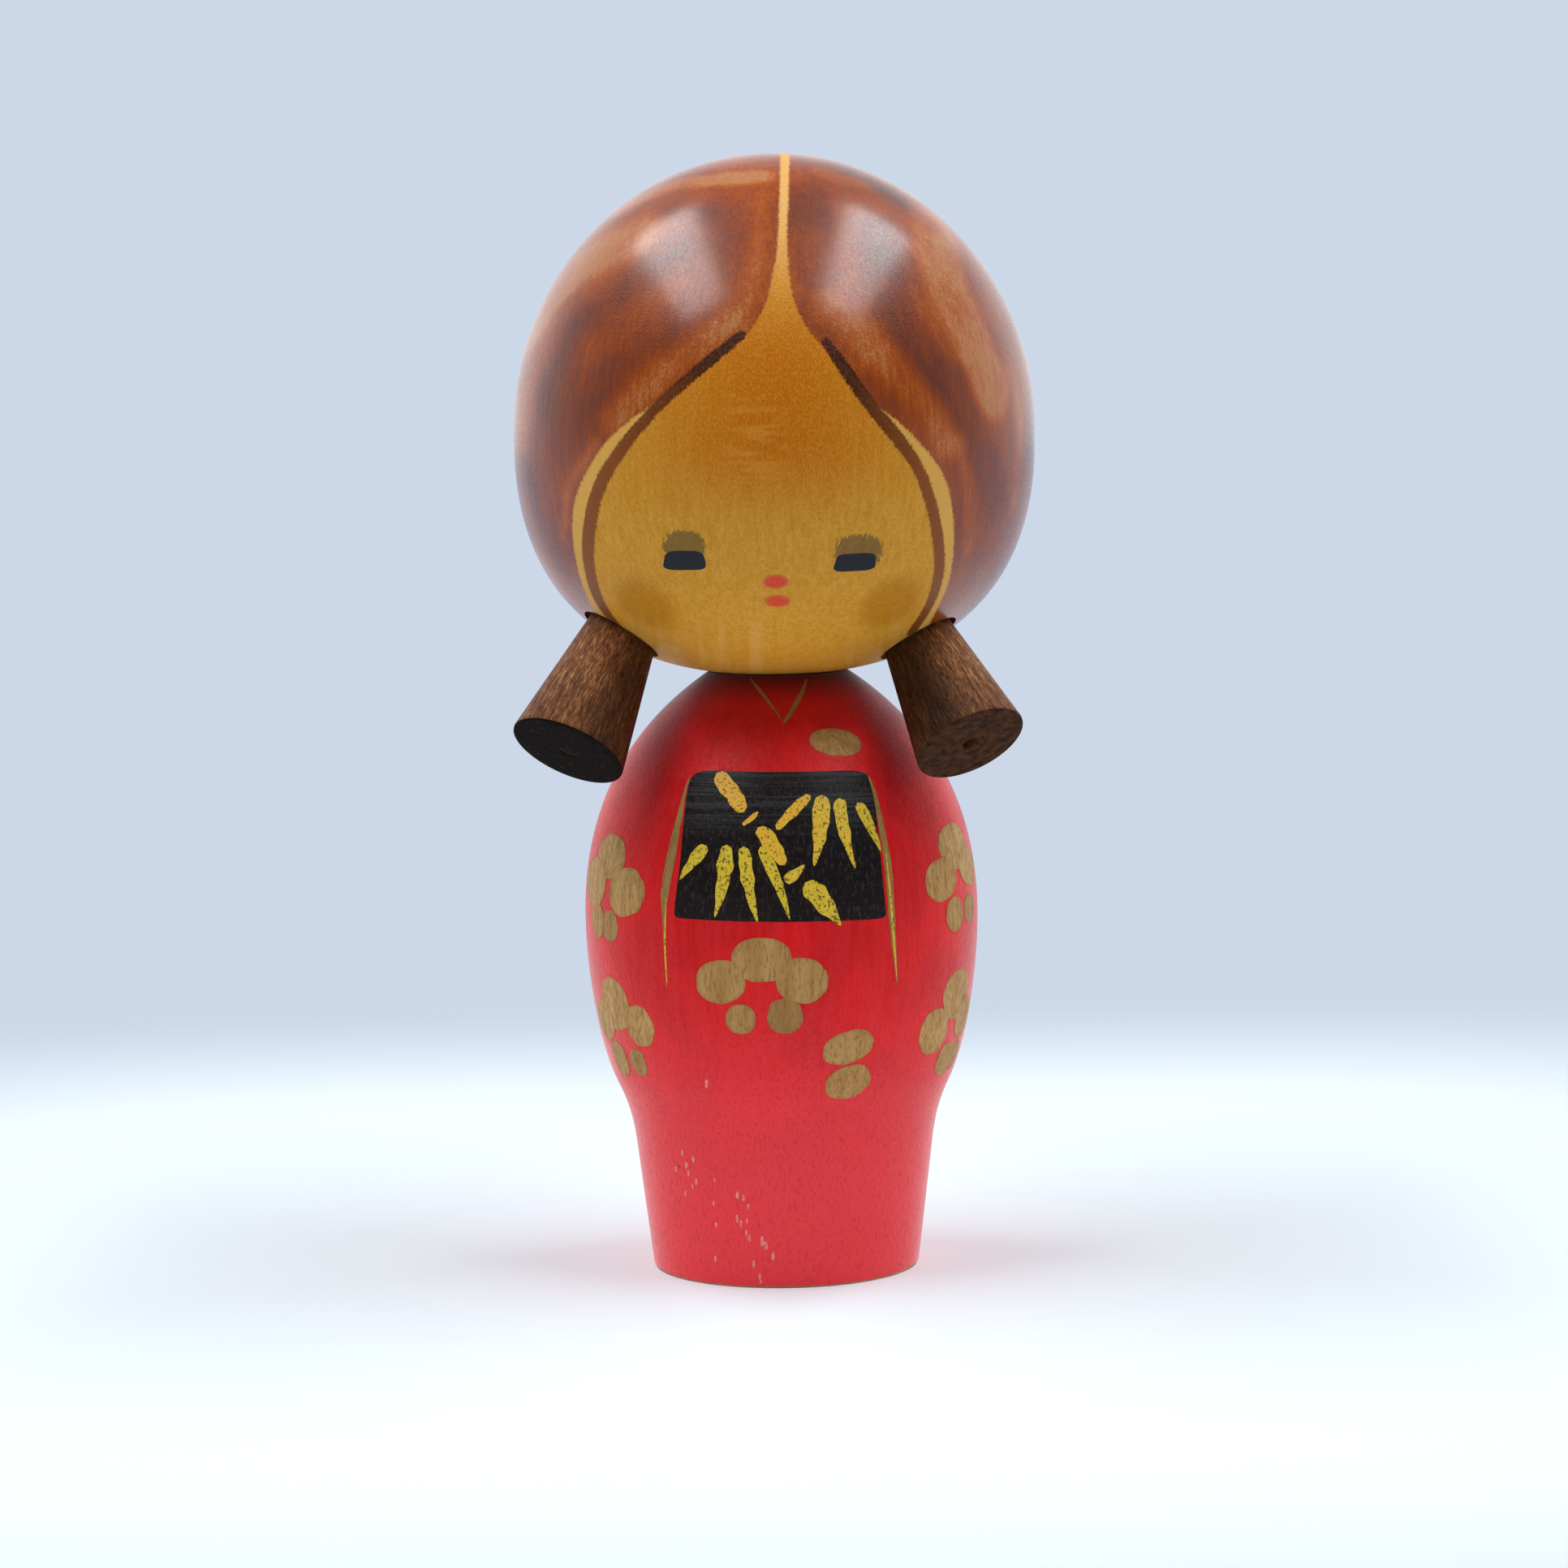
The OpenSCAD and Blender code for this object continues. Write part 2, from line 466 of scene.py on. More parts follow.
def bodyOutline():
    v = bodyValues
    foot = np.array((v["footRadius"], 0.0))
    waist = np.array(v["waist"])
    bulge = np.array(v["bulge"])
    belly = np.array((bellyRadius, v["bellyHeight"]))
    neck = np.array((v["neckRadius"], bodyTop))
    lean = np.array(v["lean"])
    flare = (waist - foot) / np.linalg.norm(waist - foot)
    points = [tuple(foot + v["footRound"] * flare), tuple(waist)]
    points += curvePoints(waist, waist + 5.2 * flare, bulge - 5 * lean, bulge, 40)
    points += curvePoints(bulge, bulge + 6.3 * lean, belly - (0, 6.2), belly, 40)
    points += curvePoints(belly, belly + (0, 16), neck + 12 * np.array(v["fall"]), neck, 80)
    return spreadEvenly(points, v["rows"])


headValues = {
    "widest": 113.0,            # height of the widest place
    "seatRadius": 8.5,
    "chinPower": 2.43,
    "dowelRadius": 4.0,
    "dowelDepth": 12.0,
    "rows": 176,
    "steps": 352,
    "socketRadius": 5.6,
    "socketDepth": 2.4,
    "pegRadius": 1.1,
    "pegDepth": 7.0,
    # edges of the stained hair seen from the front: x and height, from the crown down
    "leftEdge": [(1.4, 150), (1.15, 143), (0.75, 137), (0.15, 134), (-0.9, 130), (-3.6, 126),
                 (-9.8, 121.7), (-15.6, 117.4), (-19, 115), (-22.5, 111.6), (-25.6, 106),
                 (-26.4, 101), (-25.7, 95), (-23.9, 90), (-20.9, 86.3), (-16.6, 83), (-8.4, 81)],
    "rightEdge": [(2.55, 150), (2.2, 143), (1.95, 138), (2.4, 132), (3.5, 128.5), (5.6, 125.3),
                  (9.1, 121.8), (12.8, 117.3), (16.2, 114.5), (20.3, 110), (22.3, 106), (23, 100.3),
                  (22.5, 94.3), (20.7, 89.5), (18.3, 85.2), (15.2, 82.9), (8.3, 81)],
    # the dark strokes that frame the face: x, height and half the width
    "leftStroke": [(-3.9, 126.3, 0.55), (-6.4, 124.3, 0.7), (-9.8, 121.6, 0.7), (-15.1, 117, 0.7),
                   (-19.7, 111.7, 0.85), (-22.7, 106.8, 1.0), (-24.2, 101, 1.1), (-24.3, 96, 1.05),
                   (-23.1, 91.4, 1.05), (-20.5, 87.4, 0.95)],
    "rightStroke": [(6.7, 125.2, 0.5), (9, 121.8, 0.8), (12.3, 117, 0.8), (15.4, 113.2, 0.9),
                    (18.1, 109.3, 0.8), (19.7, 105.3, 0.82), (20.8, 100.4, 0.85),
                    (21.1, 95.4, 0.88), (20, 91, 0.82), (17.7, 87, 0.85)],
    "blushes": [(-17.2, 91.5, 4.8), (14.8, 91.2, 4.6)],                 # x, height, radius
    "eyeShades": [(-11.8, 99.3, 2.8, 2.2), (10.6, 98.5, 3.2, 2.2)],     # and half width, half height
    "eyeShadeSquare": 2.6,
    "foreheadWidth": 17,
    "foreheadRise": (100, 113),     # heights between which the darker forehead sets in
    "foreheadFall": (122, 138),     # and fades again
}


def headOutline():
    v = headValues
    share = v["seatRadius"] / headRadius
    chin = (v["widest"] - seatHeight) / (1 - share ** v["chinPower"]) ** (1 / v["chinPower"])
    points = []
    for i in range(400):
        a = math.pi / 2 * i / 399
        radius = headRadius * max(math.cos(a), 0) ** (2 / v["chinPower"])
        if radius > v["seatRadius"]:
            points.append((radius, v["widest"] - chin * math.sin(a) ** (2 / v["chinPower"])))
    points.append((v["seatRadius"], seatHeight))
    points.reverse()
    for i in range(1, 401):
        a = math.pi / 2 * i / 400
        points.append((headRadius * math.cos(a),
                       v["widest"] + (headTop - v["widest"]) * math.sin(a)))
    return spreadEvenly(points, v["rows"])


bodyLine = np.array(bodyOutline())
headLine = np.array(headOutline())


# Places on a turned surface that somebody facing it sees at (across, up) mm, raised by lift.
def wrapOn(line, facing, across, up, lift=0.0):
    across = np.asarray(across, float)
    up = np.asarray(up, float)
    radius = np.interp(up, line[:, 1], line[:, 0])
    slope = (np.interp(up + 0.2, line[:, 1], line[:, 0])
             - np.interp(up - 0.2, line[:, 1], line[:, 0])) / 0.4
    length = np.hypot(1, slope)
    angle = math.radians(facing) + np.arcsin(np.clip(across / np.maximum(radius, 1e-6), -1, 1))
    radius = radius + lift / length
    return np.stack([radius * np.sin(angle), -radius * np.cos(angle),
                     up - lift * slope / length], 1)


def makeBody():
    v = bodyValues
    edge = v["footRound"]
    outline = v["latheMark"] + [(v["footRadius"] - edge, 0)]
    for i in range(1, 5):
        a = math.pi / 2 * i / 5
        outline.append((v["footRadius"] - edge + edge * math.sin(a), edge - edge * math.cos(a)))
    outline += [tuple(point) for point in bodyLine]
    outline += [(v["boreRadius"], bodyTop), (v["boreRadius"], bodyTop - v["boreDepth"]),
                (0, bodyTop - v["boreDepth"])]
    piece = turnOnLathe("turnedBody", outline, v["steps"])
    smoothUp(piece)
    piece.data.materials.append(redLacquer())
    piece.data.materials.append(bareWood())
    for face in piece.data.polygons:
        low = face.center.z < 0.9 * mm and face.normal.z < -0.7
        inBore = math.hypot(face.center.x, face.center.y) < (v["boreRadius"] + 0.05) * mm
        face.material_index = 1 if low or inBore else 0
    finishPiece(piece, "torso", ["body"])
    print("body:", len(piece.data.vertices), "points")


def redLacquer():
    v = bodyValues
    material, tree, shader = startMaterial("redLacquer", IOR=1.28, Sheen_Weight=0.4,
                                           Sheen_Roughness=0.35)
    place = objectPlace(tree)
    grain = addGrain(tree, place, 0.32, 0.9)
    colour = mixColour(tree, fade(tree, grain["Clouds"], 0.2, 0.9), v["red"], v["deepRed"])
    colour = mixMasked(tree, grain["Streaks"], 0.2, colour, v["dustyRed"])
    up = partOf(tree, place, "Z")
    # painted shade under the head at the top of the body, then painted floor bounce light with a
    # dustier red towards the foot, then darker specks
    colour = coverColour(tree, colour, [(up, 0.0765, 0.081, 0.85, tint(80, 0, 0)),
                                        (up, 0.046, 0.012, 0.85, v["bounceLitDustyRed"]),
                                        (grain["Specks"], 0.62, 1.0, 0.2, tint(150, 10, 14))])
    pits = addNode(tree, "TexVoronoi", {"Vector": place, "Scale": 230.0}).outputs["Distance"]
    pit = fade(tree, pits, 0.055, 0.025, 0.0, 0.7)
    colour = mixMasked(tree, pit, grain["Clouds"], colour, tint(60, 8, 10))
    gloss = fade(tree, grain["Specks"], 0.0, 1.0, 0.38, 0.52)
    height = plus(tree, grain["Specks"], times(tree, grain["Rings"], 0.7))
    finishShader(tree, shader, colour, gloss, height, 0.022 * mm)
    return material


# Broad brush marks of the stain on the hair, seen from the front: points, half width,
# softness of the sides and how much darker (or lighter, below 0) they make it.
stainMarks = [
    ([(-18, 139), (-22.5, 137), (-27, 133.5), (-31.5, 127.5)], 4.4, 1.7, -0.36),
    ([(-12.5, 136.4), (-17, 133.6), (-22, 130.4), (-27, 125.5), (-30, 119)], 2.5, 2.4, 0.27),
    ([(-6.5, 142), (-7.6, 136), (-9.2, 131.5), (-13, 127), (-19, 122), (-24, 116), (-27, 109)],
     2.6, 2.4, 0.16),
    ([(-1.2, 144), (-1.8, 137), (-3.6, 130)], 0.9, 1.4, -0.22),
    ([(-5.2, 127.6), (-9.5, 125), (-15.8, 120.2), (-20.5, 115.6)], 2.0, 1.4, -0.36),
    ([(-27.5, 121), (-30, 114), (-30.5, 106), (-28.6, 98)], 3.4, 3.0, 0.17),
    ([(-23, 112.5), (-26.6, 107), (-27.8, 100)], 0.8, 0.8, -0.28),
    ([(-19.5, 143), (-12, 145.8), (-1.5, 146.6)], 2.0, 1.0, -0.4),
    ([(-13.5, 147.2), (-9, 148.2)], 0.9, 0.9, 0.25),
    ([(-14.3, 142.2), (-11.5, 142.4), (-8, 141.6)], 1.3, 1.8, 0.22),
    ([(4.6, 144), (5.4, 139), (5.8, 134)], 3.0, 0.8, 0.22),
    ([(6.5, 147.2), (9, 146), (12, 145.6)], 1.6, 0.7, -0.2),
    ([(9.5, 148), (14.5, 145.4), (20, 140.6)], 2.8, 1.6, 0.3),
    ([(14.4, 139), (14.4, 133), (16.4, 128), (19.4, 124), (22.2, 120.6), (25.2, 115),
      (27.2, 109.5), (29, 103)], 2.8, 1.7, 0.28),
    ([(17.5, 121), (21.5, 117), (25, 110.5)], 1.5, 2.5, 0.15),
    ([(21.6, 140), (22.4, 133.5), (25, 127.5), (28.5, 119)], 4.3, 1.2, -0.36),
    ([(7.5, 129.5), (11, 126.5), (15, 121.8), (19.4, 117.4), (22.5, 112)], 2.2, 1.6, -0.34),
    ([(24, 112), (25, 105), (25, 98)], 1.2, 1.0, -0.22),
    ([(31, 121), (32.3, 113), (31.4, 104)], 1.5, 1.0, -0.26),
]


# Distance of each place from the edge of the stained hair, above 0 inside it.
def hairInside(places, edge, side):
    path = smoothPath([point[:2] for point in edge])
    path = path[np.abs(path[:, 0]) <= np.interp(path[:, 1], headLine[:, 1], headLine[:, 0])]
    front = wrapOn(headLine, 0, path[:, 0], path[:, 1])
    up = np.linspace(headTop - 0.02, seatHeight, 400)       # and the same part down the back
    up = up[np.interp(up, headLine[:, 1], headLine[:, 0]) >= abs(edge[0][0])]
    back = wrapOn(headLine, 180, np.full(len(up), -edge[0][0]), up)
    gap = np.minimum(pathDistance(places, front)[0], pathDistance(places, back)[0])
    order = np.argsort(path[:, 1])
    limit = np.interp(places[:, 2], path[order, 1], path[order, 0])
    limit = np.where(places[:, 1] < 0, limit, edge[0][0])
    return np.where((places[:, 0] - limit) * side > 0, gap, -gap)


def stainDepth(places):
    depth = np.full(len(places), 0.5)
    marks = [(wrapOn(headLine, 0, *smoothPath(points).T), half, soft, strength)
             for points, half, soft, strength in stainMarks]
    for i in range(9):          # the same hand at work round the sides and the back
        for side in (-1, 1):
            turn = side * (172 - 9 * (i % 3))
            high = 147 - 6.5 * i
            heights = [high, high - 7, high - 16, high - 27]
            points = [wrapOn(headLine, turn - side * (8 + 17 * j + 3 * j * j), [0], [max(z, 84)])[0]
                      for j, z in enumerate(heights)]
            marks.append((smoothPath(points, 1.5), 2.2 + 0.8 * ((i + 1) % 3), 2.4,
                          (0.26, -0.3, 0.2)[(i + (side > 0)) % 3]))
    for path, half, soft, strength in marks:
        reach = half + soft
        near = np.all((places > path.min(0) - reach) & (places < path.max(0) + reach), axis=1)
        gap = pathDistance(places[near], path)[0]
        depth[near] += strength * step(gap, reach, half - soft)
    return depth


def markHead(piece):
    v = headValues
    places = readPlaces(piece)
    storeValue(piece, "hairLeft", np.clip(hairInside(places, v["leftEdge"], -1), -20, 20))
    storeValue(piece, "hairRight", np.clip(hairInside(places, v["rightEdge"], 1), -20, 20))
    storeValue(piece, "stain", stainDepth(places))
    strokeGap = np.full(len(places), 20.0)
    strokeRun = np.zeros(len(places))
    for side in ("leftStroke", "rightStroke"):
        stroke = smoothPath(v[side])
        path = wrapOn(headLine, 0, stroke[:, 0], stroke[:, 1])
        gap, share = pathDistance(places, path)
        gap -= np.interp(share, np.linspace(0, 1, len(stroke)), stroke[:, 2])
        closer = gap < strokeGap
        strokeGap[closer] = gap[closer]
        strokeRun[closer] = share[closer]
    band = np.maximum(hairInside(places, v["leftStroke"], -1),
                      hairInside(places, v["rightStroke"], 1))
    storeValue(piece, "paleBand", np.clip(band, -5, 5))
    storeValue(piece, "strokeGap", strokeGap)
    storeValue(piece, "strokeRun", strokeRun)
    front = places[:, 1] < 0
    forehead = np.exp(-(places[:, 0] / v["foreheadWidth"]) ** 2) * front
    forehead *= step(places[:, 2], *v["foreheadRise"])
    forehead *= 1 - 0.75 * step(places[:, 2], *v["foreheadFall"])
    storeValue(piece, "forehead", forehead)
    blush = np.zeros(len(places))
    shade = np.full(len(places), 20.0)
    for x, z, radius in v["blushes"]:
        gap = np.linalg.norm(places - wrapOn(headLine, 0, [x], [z])[0], axis=1)
        blush += step(gap, radius * 1.25, radius * 0.55)
    storeValue(piece, "blush", blush)
    power = v["eyeShadeSquare"]
    for x, z, wide, high in v["eyeShades"]:
        across = np.abs(places[:, 0] - x) / wide
        up = np.abs(places[:, 2] - z) / high
        reach = (across ** power + up ** power) ** (1 / power)
        shade = np.minimum(shade, np.where(front, (reach - 1) * high, 20))
    storeValue(piece, "eyeShade", shade)
    rim = np.full(len(places), 20.0)
    for side in ("left", "right"):
        spot, axis = tailPlace(side)
        away = places - np.array(spot) / mm
        along = away @ np.array(axis)
        radial = np.linalg.norm(away - along[:, None] * np.array(axis), axis=1)
        rim = np.where(np.abs(along) < 6, np.minimum(rim, radial), rim)
    storeValue(piece, "socketRim", rim)


def headWood():
    material, tree, shader = startMaterial("headWood", Coat_Roughness=0.22, IOR=1.22)
    place = objectPlace(tree)
    grain = addGrain(tree, place, 0.2, 0.45)
    specks = grain["Specks"]
    up = partOf(tree, place, "Z")

    # bare waxed wood of the face, the parting and the chin
    wood = rampColour(tree, grain["Streaks"], [(0.0, tint(212, 146, 36)),
                                               (1.0, tint(222, 162, 56))])
    # paler up the parting towards the crown: painted light where the top faces the overhead light
    wood = mixColour(tree, fade(tree, up, 0.128, 0.144), wood, tint(232, 184, 110))
    wood = mixColour(tree, readValue(tree, "forehead"), wood, tint(204, 112, 0))
    wood = mixMasked(tree, readValue(tree, "blush"), 0.8, wood, tint(190, 122, 4))
    wood = coverColour(tree, wood, [(specks, 0.45, 1.0, 0.2, tint(236, 180, 84)),
                                    (specks, 0.45, 0.0, 0.2, tint(150, 88, 12))])
    # a ladder of short bars down the middle of the forehead, and pale streaks up the chin
    aside = calc(tree, "ABSOLUTE", plus(tree, partOf(tree, place, "X"), 0.0028))
    flecks = fade(tree, noiseValue(tree, place, (190.0, 190.0, 1250.0), 0.0), 0.52, 0.66)
    for mask in (fade(tree, aside, 0.0052, 0.0016), fade(tree, up, 0.1195, 0.1155),
                 readValue(tree, "forehead")):
        flecks = times(tree, flecks, mask)
    wood = mixMasked(tree, flecks, 0.34, wood, tint(230, 160, 60))
    chin = noiseValue(tree, place, (620.0, 45.0, 30.0), 1.0)
    chin = times(tree, fade(tree, chin, 0.42, 0.72), fade(tree, up, 0.0935, 0.0855))
    wood = mixMasked(tree, chin, 0.26, wood, tint(244, 198, 118))
    wood = coverColour(tree, wood, [(readValue(tree, "paleBand"), -0.1, 0.3, 0.7,
                                     tint(234, 180, 92))])

    # stained hair
    depth = readValue(tree, "stain")
    for value, share in ((grain["Streaks"], 0.2), (specks, 0.26), (grain["Clouds"], 0.24)):
        depth = plus(tree, depth, times(tree, calc(tree, "SUBTRACT", value, 0.5), share))
    stain = rampColour(tree, depth, [(0.0, tint(190, 122, 70)), (0.25, tint(176, 82, 10)),
                                     (0.55, tint(147, 61, 10)), (0.8, tint(120, 52, 26)),
                                     (1.0, tint(94, 44, 32))])
    rough = times(tree, calc(tree, "SUBTRACT", specks, 0.5), 0.3)
    inside = calc(tree, "MAXIMUM", readValue(tree, "hairLeft"), readValue(tree, "hairRight"))
    hair = fade(tree, plus(tree, inside, rough), -0.12, 0.22)
    colour = mixColour(tree, hair, wood, stain)

    # the dark strokes, the brushed shade over the eyes, the pale rims of the sockets and painted
    # shade inside the sockets
    strokeColour = rampColour(tree, readValue(tree, "strokeRun"),
                              [(0.0, tint(64, 22, 8)), (0.12, tint(50, 16, 5)),
                               (0.3, tint(104, 46, 14)), (0.5, tint(136, 68, 28)),
                               (0.85, tint(140, 78, 40)), (1.0, tint(110, 56, 24))])
    strokeColour = coverColour(tree, strokeColour, [(specks, 0.4, 1.0, 0.16, tint(160, 100, 60))])
    gap = plus(tree, readValue(tree, "strokeGap"), times(tree, rough, 0.8))
    colour = mixColour(tree, fade(tree, gap, 0.22, -0.12, 0.0, 0.95), colour, strokeColour)
    brushed = noiseValue(tree, place, (2900.0, 2900.0, 800.0), 1.0)
    brushed = fade(tree, plus(tree, brushed, calc(tree, "MULTIPLY",
                   readValue(tree, "eyeShade"), -0.3)), 0.4, 0.54)
    inShade = fade(tree, plus(tree, readValue(tree, "eyeShade"), rough), 0.2, -0.25)
    colour = mixMasked(tree, times(tree, brushed, inShade), 0.68, colour,
                       tint(72, 70, 50))
    rim = readValue(tree, "socketRim")
    pale = times(tree, fade(tree, rim, 6.15, 5.85), fade(tree, rim, 5.3, 5.5))
    colour = mixMasked(tree, pale, 0.25, colour, tint(150, 104, 64))
    # painted shade inside the sockets, round the pigtails
    colour = mixColour(tree, fade(tree, rim, 5.5, 5.3), colour, tint(60, 36, 20))
    gloss = calc(tree, "SUBTRACT", fade(tree, specks, 0.0, 1.0, 0.38, 0.5),
                 times(tree, hair, 0.15))
    coat = times(tree, hair, fade(tree, specks, 0.15, 0.85, 0.5, 1.0))
    tree.links.new(coat, shader.inputs["Coat Weight"])
    height = plus(tree, specks, times(tree, grain["Rings"], 0.3))
    finishShader(tree, shader, colour, gloss, height, 0.034 * mm)
    return material


def tailPlace(side):
    row = jointRows[side + "_pigtail_turn"]
    return Vector(row["pos_m"]), Vector(row["axis"]).normalized()


def placeOnTail(piece, side):
    spot, axis = tailPlace(side)
    only(piece)
    piece.matrix_world = Matrix.LocRotScale(spot, axis.to_track_quat("Z", "Y"), None)
    bpy.ops.object.transform_apply(location=True, rotation=True, scale=True)


def makeHead():
    v = headValues
    socket = v["socketDepth"]
    outline = [(0, seatHeight + v["dowelDepth"]), (v["dowelRadius"], seatHeight + v["dowelDepth"]),
               (v["dowelRadius"], seatHeight)]
    outline += [tuple(point) for point in headLine]
    piece = turnOnLathe("turnedHead", outline, v["steps"])
    for side in ("left", "right"):
        drill = turnOnLathe("drill", [
            (0, -socket - v["pegDepth"]), (v["pegRadius"], -socket - v["pegDepth"]),
            (v["pegRadius"], -socket), (v["socketRadius"], -socket),
            (v["socketRadius"], 2 * socket), (0, 2 * socket)], 96)
        placeOnTail(drill, side)
        cut = piece.modifiers.new("socket", "BOOLEAN")
        cut.object = drill
        cut.operation = "DIFFERENCE"
        only(piece)
        bpy.ops.object.modifier_apply(modifier=cut.name)
        bpy.data.objects.remove(drill)
    smoothUp(piece, 30)
    markHead(piece)
    piece.data.materials.clear()
    piece.data.materials.append(headWood())
    finishPiece(piece, "head", ["head"])
    print("head:", len(piece.data.vertices), "points")


tailValues = {
    "hiddenRadius": 4.6,
    "under": 2.3,               # how far the hidden end lies below the head's surface
    "bevel": 0.35,
    "holeRadius": 1.15,
    "left": {"endRadius": 7.8, "reach": 18.0, "pegShort": 0.1, "pegRuggedness": 0.04,
             "pegColours": (tint(30, 19, 12), tint(10, 6, 5)),
             "innerShadeAndStain": (0.0015, 0.006, 0.0, 0.6),
             "endColours": (tint(6, 4, 3), tint(18, 11, 8))},
    "right": {"endRadius": 7.55, "reach": 17.0, "pegShort": 1.5, "pegRuggedness": 0.25,
              "pegColours": (tint(120, 82, 50), tint(44, 30, 20)),
              "innerShadeAndStain": (-0.001, 0.004, 0.0, 0.72),
              "endColours": (tint(34, 20, 12), tint(78, 48, 26))},
}


def tailStain(side):
    spot, axis = tailPlace(side)
    material, tree, shader = startMaterial(side + "TailStain", IOR=1.25)
    turned = axis.to_track_quat("Z", "Y").to_euler()
    local = addNode(tree, "Mapping", {"Vector": objectPlace(tree), "Location": spot,
                                      "Rotation": turned}, vector_type="TEXTURE").outputs[0]
    grain = addGrain(tree, local, 0.16, 3.0)
    depth = times(tree, grain["Streaks"], 0.4)
    for name, share in (("Specks", 0.42), ("Clouds", 0.2)):
        depth = plus(tree, depth, times(tree, grain[name], share))
    colour = rampColour(tree, depth, [(0.05, tint(62, 32, 15)), (0.45, tint(114, 66, 32)),
                                      (0.75, tint(160, 102, 54)), (1.0, tint(218, 164, 102))])
    inward = Vector((-spot[0], 0, 0))                 # painted shade, with a deeper stain, on the inner side towards the body
    inward = (inward - axis * inward.dot(axis)).normalized()
    offset = addNode(tree, "VectorMath", {0: objectPlace(tree), 1: spot}, operation="SUBTRACT")
    turnIn = addNode(tree, "VectorMath", {0: offset.outputs[0], 1: inward},
                     operation="DOT_PRODUCT").outputs["Value"]
    turnIn = plus(tree, turnIn, times(tree, grain["Streaks"], 0.0015))
    shaded = fade(tree, turnIn, *tailValues[side]["innerShadeAndStain"])
    colour = mixColour(tree, shaded, colour, tint(30, 15, 8))
    reach = tailValues[side]["reach"]
    atEnd = fade(tree, partOf(tree, local, "Z"), (reach - 0.28) * mm, (reach - 0.12) * mm)
    endGrain = noiseValue(tree, local, (900.0, 900.0, 900.0), 4.0, 0.7)
    dark, mid = tailValues[side]["endColours"]
    endColour = rampColour(tree, endGrain, [(0.35, dark), (0.6, mid), (0.85, tint(84, 54, 30))])
    colour = mixColour(tree, atEnd, colour, endColour)
    gloss = calc(tree, "MAXIMUM", fade(tree, grain["Specks"], 0.0, 1.0, 0.62, 0.42), atEnd)
    height = plus(tree, times(tree, grain["Specks"], 0.7), grain["Streaks"])
    height = addNode(tree, "Mix", {0: atEnd, 2: height, 3: endGrain}).outputs[0]
    finishShader(tree, shader, colour, gloss, height, 0.09 * mm)
    return material


def makeTail(side):
    v = tailValues
    own = v[side]
    low, high, bevel = -v["under"], own["reach"], v["bevel"]
    lean = (own["endRadius"] - v["hiddenRadius"]) / (high - low)
    outline = [(v["holeRadius"], low), (v["hiddenRadius"] - bevel, low)]
    for i in range(33):
        z = low + bevel + (high - low - 2 * bevel) * i / 32
        outline.append((v["hiddenRadius"] + lean * (z - low), z))
    outline += [(own["endRadius"] - 0.3 * bevel, high - 0.3 * bevel),
                (own["endRadius"] - bevel, high)]
    for i in range(1, 6):
        radius = own["endRadius"] - bevel
        outline.append((radius + (v["holeRadius"] + 0.15 - radius) * i / 5, high - 0.02 * (i % 2)))
    outline += [(v["holeRadius"], high - 0.2), (v["holeRadius"], low)]
    piece = turnOnLathe(side + "Pigtail", outline, 128)
    placeOnTail(piece, side)
    smoothUp(piece)
    piece.data.materials.append(tailStain(side))
    finishPiece(piece, side + "_pigtail", [side + "_pigtail"])


def makePeg(side):
    own = tailValues[side]
    low = -headValues["socketDepth"] - headValues["pegDepth"]
    high = own["reach"] - own["pegShort"]
    radius = headValues["pegRadius"]
    outline = [(0, low), (radius - 0.15, low), (radius, low + 0.15), (radius, high - 0.12),
               (radius - 0.12, high), (radius * 0.5, high), (0, high)]
    piece = turnOnLathe(side + "Peg", outline, 48)
    places = readPlaces(piece)
    for i in np.flatnonzero(places[:, 2] > high - 0.3):
        places[i, 2] -= own["pegRuggedness"] * (1 + noise.noise(Vector(places[i] * 1.7)))
    movePlaces(piece, places)
    placeOnTail(piece, side)
    smoothUp(piece)
    material, tree, shader = startMaterial(side + "PegWood", Roughness=0.8, IOR=1.2)
    grain = addGrain(tree, objectPlace(tree), 0.2, 0.5)
    colour = mixColour(tree, grain["Streaks"], *own["pegColours"])
    finishShader(tree, shader, colour, None, grain["Specks"], 0.03 * mm)
    piece.data.materials.append(material)
    finishPiece(piece, "head", [side + "_pigtail_peg"])


